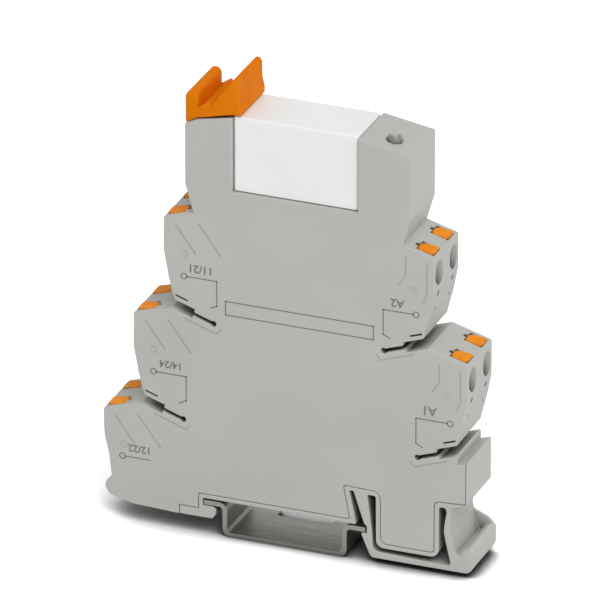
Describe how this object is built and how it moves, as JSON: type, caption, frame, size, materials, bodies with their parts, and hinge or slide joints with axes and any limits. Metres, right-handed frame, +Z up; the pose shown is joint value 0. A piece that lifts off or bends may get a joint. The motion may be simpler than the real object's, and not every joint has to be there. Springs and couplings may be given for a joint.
{
  "type": "slim interface relay",
  "caption": "Slim rail-mounted terminal block with stepped tiers of push-in clamps, a plug-in relay, its retaining lever and a piece of hat rail.",
  "frame": {"origin": "middle of the block at the underside of the rail", "axes": "+Z up from the rail, +X across the rail towards the foot, +Y along the rail"},
  "size_m": [0.08, 0.014, 0.1015],
  "materials": {
    "grey_polyamide": "moulded, fine matt",
    "orange_polyamide": "moulded, satin",
    "white_polyester": "moulded, satin",
    "clear_lens": "polished",
    "led_resin": "gloss",
    "board_laminate": "satin",
    "black_plastic": "matt",
    "tinned_brass": "bright",
    "spring_steel": "rolled",
    "copper_wire": "enamelled",
    "rail_steel": "zinc plated",
    "magnet_iron": "nickel plated"
  },
  "bodies": {
    "terminal_block": {"housing": "grey_polyamide", "side_cover": "grey_polyamide", "partition": "grey_polyamide", "indicator_lens": "clear_lens", "indicator_led": "led_resin", "circuit_board": "board_laminate", "board_parts": "black_plastic", "busbar_11": "tinned_brass", "busbar_14": "tinned_brass", "busbar_12": "tinned_brass", "busbar_21": "tinned_brass", "busbar_24": "tinned_brass", "busbar_22": "tinned_brass", "busbar_a1": "tinned_brass", "busbar_a2": "tinned_brass", "spring_11": "spring_steel", "spring_14": "spring_steel", "spring_12": "spring_steel", "spring_21": "spring_steel", "spring_24": "spring_steel", "spring_22": "spring_steel", "spring_a1_near": "spring_steel", "spring_a1_far": "spring_steel", "spring_a2_near": "spring_steel", "spring_a2_far": "spring_steel"},
    "release_button_11": {"button_11": "orange_polyamide"},
    "release_button_14": {"button_14": "orange_polyamide"},
    "release_button_12": {"button_12": "orange_polyamide"},
    "release_button_21": {"button_21": "orange_polyamide"},
    "release_button_24": {"button_24": "orange_polyamide"},
    "release_button_22": {"button_22": "orange_polyamide"},
    "release_button_a1_near": {"button_a1_near": "orange_polyamide"},
    "release_button_a1_far": {"button_a1_far": "orange_polyamide"},
    "release_button_a2_near": {"button_a2_near": "orange_polyamide"},
    "release_button_a2_far": {"button_a2_far": "orange_polyamide"},
    "lever": {"retaining_lever": "orange_polyamide"},
    "relay": {"relay_cap": "white_polyester", "relay_base": "black_plastic", "relay_pins": "tinned_brass", "coil_bobbin": "black_plastic", "coil_winding": "copper_wire", "coil_core": "magnet_iron", "relay_yoke": "magnet_iron", "fixed_contacts": "tinned_brass"},
    "relay_armature": {"armature": "magnet_iron", "contact_pusher": "white_polyester"},
    "relay_leaves": {"moving_contacts": "tinned_brass"},
    "rail": {"rail_section": "rail_steel"}
  },
  "joints": [
    {"name": "press_button_11", "type": "slide", "parent": "terminal_block", "child": "release_button_11", "axis": [0.5878, 0, -0.809], "range_m": [0, 0.0013], "stiffness_N_per_m": 4000, "deforming": ["spring_11"]},
    {"name": "press_button_14", "type": "slide", "parent": "terminal_block", "child": "release_button_14", "axis": [0.5878, 0, -0.809], "range_m": [0, 0.0013], "stiffness_N_per_m": 4000, "deforming": ["spring_14"]},
    {"name": "press_button_12", "type": "slide", "parent": "terminal_block", "child": "release_button_12", "axis": [0.5878, 0, -0.809], "range_m": [0, 0.0013], "stiffness_N_per_m": 4000, "deforming": ["spring_12"]},
    {"name": "press_button_21", "type": "slide", "parent": "terminal_block", "child": "release_button_21", "axis": [0.5878, 0, -0.809], "range_m": [0, 0.0013], "stiffness_N_per_m": 4000, "deforming": ["spring_21"]},
    {"name": "press_button_24", "type": "slide", "parent": "terminal_block", "child": "release_button_24", "axis": [0.5878, 0, -0.809], "range_m": [0, 0.0013], "stiffness_N_per_m": 4000, "deforming": ["spring_24"]},
    {"name": "press_button_22", "type": "slide", "parent": "terminal_block", "child": "release_button_22", "axis": [0.5878, 0, -0.809], "range_m": [0, 0.0013], "stiffness_N_per_m": 4000, "deforming": ["spring_22"]},
    {"name": "press_button_a1_near", "type": "slide", "parent": "terminal_block", "child": "release_button_a1_near", "axis": [-0.5878, 0, -0.809], "range_m": [0, 0.0013], "stiffness_N_per_m": 4000, "deforming": ["spring_a1_near"]},
    {"name": "press_button_a1_far", "type": "slide", "parent": "terminal_block", "child": "release_button_a1_far", "axis": [-0.5878, 0, -0.809], "range_m": [0, 0.0013], "stiffness_N_per_m": 4000, "deforming": ["spring_a1_far"]},
    {"name": "press_button_a2_near", "type": "slide", "parent": "terminal_block", "child": "release_button_a2_near", "axis": [-0.5878, 0, -0.809], "range_m": [0, 0.0013], "stiffness_N_per_m": 4000, "deforming": ["spring_a2_near"]},
    {"name": "press_button_a2_far", "type": "slide", "parent": "terminal_block", "child": "release_button_a2_far", "axis": [-0.5878, 0, -0.809], "range_m": [0, 0.0013], "stiffness_N_per_m": 4000, "deforming": ["spring_a2_far"]},
    {"name": "lever_swing", "type": "hinge", "parent": "terminal_block", "child": "lever", "pos_m": [-0.0186, 0, 0.0822], "axis": [0, -1, 0], "range_deg": [0, 30]},
    {"name": "relay_eject", "type": "slide", "parent": "terminal_block", "child": "relay", "axis": [0, 0, 1], "range_m": [0, 0.0048]},
    {"name": "armature_swing", "type": "hinge", "parent": "relay", "child": "relay_armature", "pos_m": [0.00315, 0, 0.09109], "axis": [0, -1, 0], "range_deg": [0, 5.5], "stiffness_Nm_per_rad": 0.02},
    {"name": "leaf_flex", "type": "hinge", "parent": "relay", "child": "relay_leaves", "pos_m": [-0.0083, 0, 0.084], "axis": [0, 1, 0], "range_deg": [0, 4.2]},
    {"name": "rail_slide", "type": "slide", "parent": "terminal_block", "child": "rail", "axis": [0, 1, 0], "range_m": [-0.007, 0.007]}
  ],
  "couplings": [
    {"joint": "relay_eject", "follows": "lever_swing", "m_per_rad": 0.009},
    {"joint": "leaf_flex", "follows": "armature_swing", "ratio": 0.75}
  ]
}
